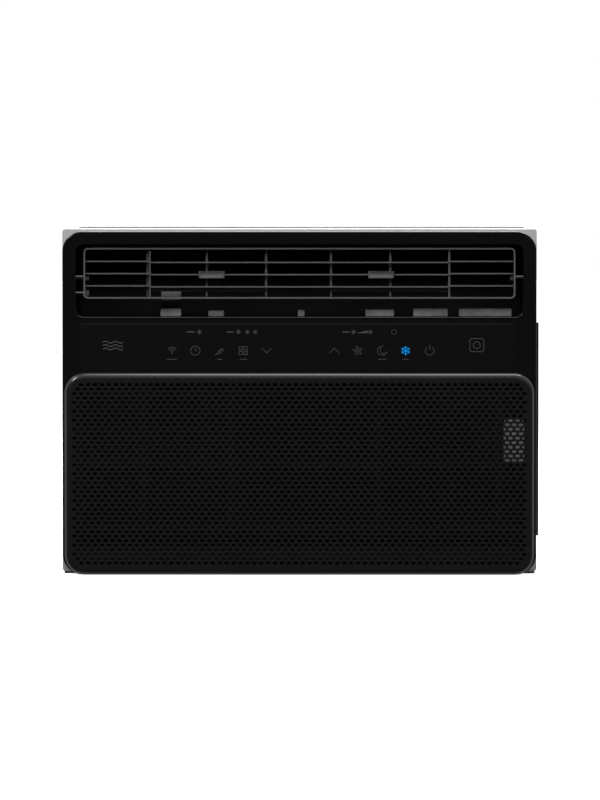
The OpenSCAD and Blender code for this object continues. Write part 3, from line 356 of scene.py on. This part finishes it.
def perforated_grille(mat):
    """Raised panel with a rounded rim and about 2,700 small staggered holes, pierced through a thin skin."""
    pitch_x, pitch_z = 6.9 * MM, 4.45 * MM
    columns, rows = 66, 41
    hole = [(2.4, 0), (1.95, 0.8), (1.2, 1.45), (-1.2, 1.45), (-1.95, 0.8), (-2.4, 0)]
    x0, x1 = GRILLE[0].x, GRILLE[1].x
    z0, z1 = GRILLE[0].z, GRILLE[1].z
    radius, edge = 20 * MM, 6.2 * MM
    flat = (x0 + edge, x1 - edge, z0 + edge, z1 - edge, radius - edge)
    mid_x, mid_z = (x0 + x1) / 2, (z0 + z1) / 2
    left = mid_x - columns * pitch_x / 2
    low = mid_z - rows * pitch_z / 2

    bm = bmesh.new()
    cache = {}

    def vert(x, z):
        key = (round(x * 1e6), round(z * 1e6))
        if key not in cache:
            cache[key] = bm.verts.new((x, FRONT_Y, z))
        return cache[key]

    def fits(a, b, c, d):
        return all(inside_rounded_rect(x, z, *flat) for x in (a, b) for z in (c, d))

    rims = set()
    for row in range(rows):
        bottom = low + row * pitch_z
        top = bottom + pitch_z
        zc = (bottom + top) / 2
        shift = 0 if row % 2 == 0 else 0.5
        count = columns if row % 2 == 0 else columns - 1
        for col in range(count):
            a = left + (col + shift) * pitch_x
            b = a + pitch_x
            xc = (a + b) / 2
            if not fits(a, b, bottom, top):
                continue
            upper = [vert(xc + px * MM, zc + pz * MM) for px, pz in hole]
            lower = [vert(xc + px * MM, zc - pz * MM) for px, pz in hole]
            for ring in (upper, lower):
                rims.update(frozenset(pair) for pair in zip(ring, ring[1:]))
            above = [(b, zc), (b, top), (xc, top), (a, top), (a, zc)]
            below = [(a, zc), (a, bottom), (xc, bottom), (b, bottom), (b, zc)]
            bm.faces.new([vert(x, z) for x, z in above] + upper[::-1])
            bm.faces.new([vert(x, z) for x, z in below] + lower)
        if shift:
            for a in (left, left + (columns - 0.5) * pitch_x):
                b = a + pitch_x / 2
                if fits(a, b, bottom, top):
                    half = [(a, bottom), (b, bottom), (b, zc), (b, top), (a, top), (a, zc)]
                    bm.faces.new([vert(x, z) for x, z in half])

    field_edges = [e for e in bm.edges if len(e.link_faces) == 1 and frozenset(e.verts) not in rims]
    profile = [(edge, FRONT_Y)]
    rim_steps = 8
    for i in range(1, rim_steps + 1):
        a = math.radians(90 * i / rim_steps)
        profile.append((edge * (1 - math.sin(a)), FRONT_Y + edge * (1 - math.cos(a))))
    profile.append((0, BEZEL_Y))
    loops = []
    for inset, y in profile:
        ring = rounded_rect(x0 + inset, x1 - inset, z0 + inset, z1 - inset, radius - inset)
        loops.append([bm.verts.new((x, y, z)) for x, z in ring])
    for inner, outer in zip(loops, loops[1:]):
        n = len(inner)
        for i in range(n):
            j = (i + 1) % n
            bm.faces.new([inner[i], inner[j], outer[j], outer[i]])
    n = len(loops[0])
    rim_edges = [bm.edges.get((loops[0][i], loops[0][(i + 1) % n])) for i in range(n)]
    bmesh.ops.triangle_fill(bm, edges=field_edges + rim_edges, use_beauty=True, normal=(0, -1, 0))
    bmesh.ops.recalc_face_normals(bm, faces=bm.faces)
    front = next(f for f in bm.faces if abs(f.normal.y) > 0.99)
    if front.normal.y > 0:
        bmesh.ops.reverse_faces(bm, faces=bm.faces)
    for edge in bm.edges:
        edge.smooth = not edge.is_boundary
    mesh = bpy.data.meshes.new("perforated_grille")
    bm.to_mesh(mesh)
    bm.free()
    for poly in mesh.polygons:
        poly.use_smooth = True
    piece = add_piece("perforated_grille", mesh, mat, "root", ["intake_grille"])
    skin = piece.modifiers.new("skin", "SOLIDIFY")
    skin.thickness = 1.6 * MM
    skin.offset = -1


def outlet_bead(mat):
    """Half-round bead that trims the outlet's lower edge and turns up at both corners."""
    r, sides, steps = 0.7 * MM, 12, 10
    top = BEZEL[1].z - OUTLET_DROP
    outline = rounded_rect(-OUTLET_HALF, OUTLET_HALF, top - OUTLET_H, top, OUTLET_R, steps)
    path = [Vector(p) for p in outline[-(steps + 1):] + outline[:steps + 1]]
    bm = bmesh.new()
    rings = []
    for i, p in enumerate(path):
        along = (path[min(i + 1, len(path) - 1)] - path[max(i - 1, 0)]).normalized()
        ring = []
        for k in range(sides):
            a = 2 * math.pi * k / sides
            side = r * math.cos(a)
            x, z = p.x - along.y * side, p.y + along.x * side - r / 2
            ring.append(bm.verts.new((x, BEZEL_Y - r * math.sin(a), z)))
        rings.append(ring)
    for ring, after in zip(rings, rings[1:]):
        for k in range(sides):
            j = (k + 1) % sides
            bm.faces.new((ring[k], ring[j], after[j], after[k]))
    bm.faces.new(rings[0][::-1])
    bm.faces.new(rings[-1])
    bmesh.ops.recalc_face_normals(bm, faces=bm.faces)
    mesh = bpy.data.meshes.new("outlet_bead")
    bm.to_mesh(mesh)
    bm.free()
    smooth_by_angle(mesh, 40)
    add_piece("outlet_bead", mesh, mat, "root")


# ---------- coils, net and other fine parts ----------


def add_box(bm, lo, hi):
    made = bmesh.ops.create_cube(bm, size=1)["verts"]
    for v in made:
        for k in range(3):
            v.co[k] = lo[k] if v.co[k] < 0 else hi[k]


def fin_stack(node):
    """The thin upright plates of a coil, in the space of its CAD block."""
    pitch, thickness = 1.8 * MM, 0.2 * MM
    lo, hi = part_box(node)
    count = int((hi.x - lo.x) / pitch)
    start = (lo.x + hi.x) / 2 - count * pitch / 2
    bm = bmesh.new()
    for i in range(count):
        x = start + (i + 0.5) * pitch
        add_box(bm, (x - thickness / 2, lo.y, lo.z), (x + thickness / 2, hi.y, hi.z))
    mesh = bpy.data.meshes.new(node + "_stack")
    bm.to_mesh(mesh)
    bm.free()
    add_piece(node + "_stack", mesh, MATS["fin_aluminium"], "root", [node])


def tall_foam():
    """Upright piece of foam on the left strip of the duct's floor, set back behind the tilting louvre."""
    lo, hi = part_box("duct_foam")
    wide, tall, set_back, inset = 21 * MM, 28 * MM, 12 * MM, 0.4 * MM
    bm = bmesh.new()
    near = (lo.x + inset, lo.y + set_back, lo.z + inset)
    far = (lo.x + wide - inset, hi.y - inset, lo.z + tall)
    add_box(bm, near, far)
    mesh = bpy.data.meshes.new("tall_foam")
    bm.to_mesh(mesh)
    bm.free()
    soften(add_piece("tall_foam", mesh, MATS["grey_foam"], "root"), 1.2 * MM)


def woven_net():
    """Upright and level threads of the filter net, which meet at its middle."""
    lo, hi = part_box("filter_mesh")
    pitch, wide = 1.5 * MM, 0.85 * MM
    outward, inward = 0.28 * MM, 0.05 * MM
    middle = (lo.y + hi.y) / 2
    bm = bmesh.new()
    for axis in (0, 2):
        other = 2 - axis
        count = int((hi[axis] - lo[axis]) / pitch)
        for i in range(count + 1):
            at = lo[axis] + i * pitch
            a, b = list(lo), list(hi)
            a[axis], b[axis] = max(at - wide / 2, lo[axis]), min(at + wide / 2, hi[axis])
            a[1] = middle - (outward if axis else inward)
            b[1] = middle + (inward if axis else outward)
            a[other], b[other] = lo[other], hi[other]
            add_box(bm, a, b)
    mesh = bpy.data.meshes.new("net_threads")
    bm.to_mesh(mesh)
    bm.free()
    add_piece("net_threads", mesh, MATS["filter_net"], "filter", ["filter_mesh"])


# ---------- touch icons ----------

ICON_ROW = 224.1 * MM
ICON_R = 4.6 * MM


class Print:
    """Flat printed shapes on the touch panel, collected in one mesh."""

    rise = 0.06 * MM

    def __init__(self):
        self.bm = bmesh.new()

    def prism(self, points):
        """A filled outline, given as (x, z) in metres."""
        front = [self.bm.verts.new((x, PANEL_Y - self.rise, z)) for x, z in points]
        back = [self.bm.verts.new((x, PANEL_Y + self.rise, z)) for x, z in points]
        self.bm.faces.new(front)
        self.bm.faces.new(back[::-1])
        n = len(points)
        for i in range(n):
            j = (i + 1) % n
            self.bm.faces.new([front[j], front[i], back[i], back[j]])

    def dot(self, x, z, r):
        self.prism([(x + r * math.cos(a), z + r * math.sin(a)) for a in arc_angles(0, 345, 23)])

    def bar(self, x0, x1, z0, z1):
        self.prism([(x0, z0), (x1, z0), (x1, z1), (x0, z1)])

    def line(self, points, width=0.55 * MM, closed=False):
        """A stroke of constant width along points, with mitred corners."""
        n = len(points)
        sides = []
        for i, (x, z) in enumerate(points):
            before = points[i - 1] if i or closed else None
            after = points[(i + 1) % n] if i < n - 1 or closed else None
            runs = []
            for a, b in ((before, (x, z)), ((x, z), after)):
                if a and b:
                    d = Vector((b[0] - a[0], b[1] - a[1]))
                    if d.length > 1e-9:
                        runs.append(d.normalized())
            along = sum(runs, Vector((0, 0))).normalized()
            reach = width / 2 / max(0.4, along.dot(runs[0]))
            sides.append((Vector((x, z)), Vector((-along.y, along.x)) * reach))
        count = n if closed else n - 1
        for i in range(count):
            (p, a), (q, b) = sides[i], sides[(i + 1) % n]
            self.prism([tuple(p - a), tuple(q - b), tuple(q + b), tuple(p + a)])

    def finish(self, name, mat):
        bmesh.ops.recalc_face_normals(self.bm, faces=self.bm.faces)
        mesh = bpy.data.meshes.new(name)
        self.bm.to_mesh(mesh)
        self.bm.free()
        add_piece(name, mesh, mat, "root")


def arc_angles(start, end, steps):
    return [math.radians(start + (end - start) * i / steps) for i in range(steps + 1)]


def arc(cx, cz, r, start, end, steps=20):
    return [(cx + r * math.cos(a), cz + r * math.sin(a)) for a in arc_angles(start, end, steps)]


def draw_touch_row(grey, blue):
    """Wireless, clock, leaf, grid, down, up, fan, moon, snowflake and power, from the left."""
    row, r = ICON_ROW, ICON_R

    x = -127 * MM
    foot = row - 0.55 * r
    for size in (0.35, 0.8, 1.25):
        grey.line(arc(x, foot, size * r, 45, 135))
    grey.dot(x, foot, 0.14 * r)

    x = -103.7 * MM
    grey.line(arc(x, row, r, 0, 350, 30), closed=True)
    grey.line([(x, row + 0.6 * r), (x, row), (x + 0.45 * r, row)])

    x = -79.5 * MM
    leaf = arc(x - 0.35 * r, row + 0.35 * r, 1.05 * r, -90, 0, 10)
    leaf += arc(x + 0.7 * r, row - 0.7 * r, 1.05 * r, 90, 180, 10)[1:-1]
    grey.line(leaf, closed=True)
    grey.line([(x - 0.95 * r, row - 1.0 * r), (x + 0.3 * r, row + 0.1 * r)])

    x = -56 * MM
    for dx in (-0.52, 0.52):
        for dz in (-0.52, 0.52):
            h = 0.36 * r
            cx, cz = x + dx * r, row + dz * r
            grey.line([(cx - h, cz - h), (cx + h, cz - h), (cx + h, cz + h), (cx - h, cz + h)], closed=True)

    for x, way in ((-32.6 * MM, -1), (35.2 * MM, 1)):
        grey.line([(x - r, row - way * 0.5 * r), (x, row + way * 0.5 * r), (x + r, row - way * 0.5 * r)])

    x = 58.2 * MM
    for k in range(5):
        turn = math.radians(72 * k + 20)
        blade = []
        for a in arc_angles(0, 330, 11):
            u, v = 0.62 * r + 0.4 * r * math.cos(a), 0.24 * r * math.sin(a) + 0.1 * r
            along, across = u * math.cos(turn) - v * math.sin(turn), u * math.sin(turn) + v * math.cos(turn)
            blade.append((x + along, row + across))
        grey.line(blade, 0.4 * MM, closed=True)

    x = 82.5 * MM
    outer = arc(x, row, r, 75, 345, 24)
    inner = arc(x + 0.42 * r, row + 0.2 * r, 0.86 * r, 325, 97, 18)
    grey.line(outer + inner, 0.5 * MM, closed=True)

    x = 106 * MM
    for k in range(6):
        a = math.radians(60 * k + 30)
        u, v = math.cos(a), math.sin(a)
        blue.line([(x, row), (x + r * u, row + r * v)], 0.6 * MM)
        for side in (-1, 1):
            b = a + side * math.radians(50)
            foot = (x + 0.55 * r * u, row + 0.55 * r * v)
            tip = (foot[0] + 0.38 * r * math.cos(b), foot[1] + 0.38 * r * math.sin(b))
            blue.line([foot, tip], 0.5 * MM)

    x = 130 * MM
    grey.line(arc(x, row, 0.95 * r, 125, 415, 26))
    grey.line([(x, row + 0.2 * r), (x, row + 1.2 * r)])


def draw_status_row(grey):
    """Small bars, ringed dots and a wedge above the touch row."""
    high = 242.8 * MM
    for x0, x1 in ((-112.5, -104.5), (-72.5, -65.5), (42.9, 50.2)):
        grey.bar(x0 * MM, x1 * MM, high - 0.5 * MM, high + 0.5 * MM)
    for cx in (-99.7, -60.7, -51.9, -44, 54.1, 70.8):
        grey.dot(cx * MM, high, 1.2 * MM)
        grey.line(arc(cx * MM, high, 2.0 * MM, 0, 330, 11), 0.3 * MM, closed=True)
    grey.prism([(56.9 * MM, high - 1.2 * MM), (68.4 * MM, high - 1.2 * MM), (68.4 * MM, high + 1.4 * MM)])
    grey.line(arc(94.3 * MM, high, 2.4 * MM, 0, 330, 11), 0.4 * MM, closed=True)


def draw_captions(grey):
    """A plain bar under each icon that has a caption."""
    low = ICON_ROW - 8.6 * MM
    for cx, half in ((-127, 5), (-79.5, 2.5), (-56, 3.5), (82.5, 4), (106, 3)):
        grey.bar((cx - half) * MM, (cx + half) * MM, low - 0.3 * MM, low + 0.3 * MM)


def draw_marks(grey):
    """Three waves and a plain badge, at the panel's two ends."""
    for k in range(3):
        z = ICON_ROW + (k - 1) * 3.4 * MM + 5 * MM
        wave = [((-196 + 0.8 * i) * MM, z + 0.9 * MM * math.sin(i * 0.5)) for i in range(26)]
        grey.line(wave, 0.9 * MM)
    badge = rounded_rect(170 * MM, 184 * MM, ICON_ROW - 1 * MM, ICON_ROW + 12 * MM, 2 * MM, 4)
    grey.line(badge, 0.6 * MM, closed=True)
    grey.line(arc(177 * MM, ICON_ROW + 5.5 * MM, 3.4 * MM, 0, 350, 24), 0.6 * MM, closed=True)


def draw_panel():
    grey = Print()
    blue = Print()
    draw_touch_row(grey, blue)
    draw_status_row(grey)
    draw_captions(grey)
    draw_marks(grey)
    grey.finish("printed_icons", plain("icon_grey", (0.062, 0.064, 0.067), 0.4))
    blue.finish("lit_snowflake", plain("icon_blue", (0.0, 0.24, 0.62), 0.4, emission=0.62))


# ---------- the whole object ----------

bpy.context.scene.view_settings.view_transform = "Standard"
make_camera()
make_world()
make_floor()
make_lights()
MATS = make_materials()

SLOT_OF = {s["node"]: s["material_slot"] for s in frame["record"]["subparts"]}
for node, obj in nodes.items():
    obj.data.materials.clear()
    obj.data.materials.append(MATS[SLOT_OF[node]])
nodes["rear_grille"].data.materials[0] = MATS["rear_paint"]

perforated_grille(MATS["black_grille"])
outlet_bead(MATS["black_gloss"])
fin_stack("evaporator_fins")
fin_stack("condenser_fins")
tall_foam()
woven_net()
draw_panel()

for node, width in (
    ("front_bezel", 0.8 * MM),
    ("louvre_frame", 0.55 * MM),
    ("vane_tab_left", 0.6 * MM),
    ("vane_tab_right", 0.6 * MM),
    ("touch_panel", 0.25 * MM),
    ("cabinet", 0.35 * MM),
    ("rear_grille", 0.4 * MM),
    ("air_filter", 0.5 * MM),
    ("filter_tab", 0.8 * MM),
    ("duct_foam", 1.2 * MM),
    ("outlet_duct", 1.0 * MM),
    *((f"vane_{k}", 0.3 * MM) for k in range(1, 7)),
):
    soften(nodes[node], width)
